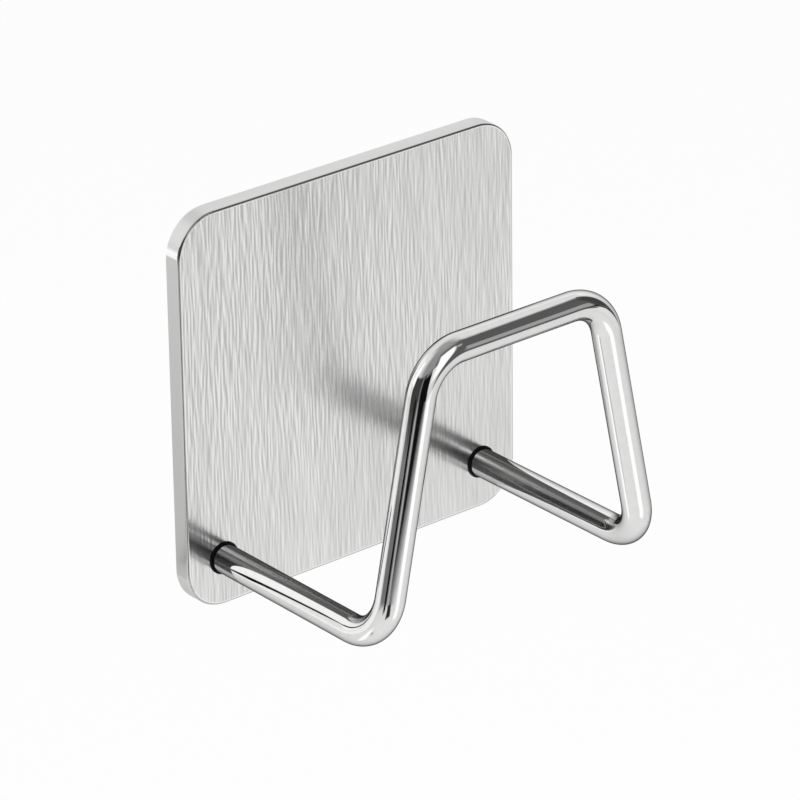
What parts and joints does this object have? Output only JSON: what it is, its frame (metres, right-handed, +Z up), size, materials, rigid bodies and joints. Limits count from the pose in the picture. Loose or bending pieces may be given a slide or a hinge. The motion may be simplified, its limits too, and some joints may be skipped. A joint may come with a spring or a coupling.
{
  "type": "sponge holder",
  "caption": "Stick-on wall holder for a kitchen sponge: a square brushed steel plate carries a polished rod bent into level legs and a tapering front frame.",
  "frame": {"origin": "centre of the foam pad's face that sticks to the wall", "axes": "+Y into the wall, +Z up, +X to the right for someone who faces the holder; the front frame is towards -Y"},
  "size_m": [0.07, 0.0477, 0.07],
  "materials": {
    "brushed_plate": "stainless steel with an upright brushed grain",
    "polished_rod": "stainless steel rod polished to a mirror",
    "black_rubber": "smooth black rubber",
    "plain_steel": "plain machine screws",
    "adhesive_foam": "fine closed-cell acrylic foam, tacky on both faces"
  },
  "bodies": {
    "root": {"base_plate": "brushed_plate", "wire_frame": "polished_rod", "left_foot_washer": "black_rubber", "right_foot_washer": "black_rubber", "frame_screws": "plain_steel", "adhesive_pad": "adhesive_foam"}
  },
  "joints": []
}
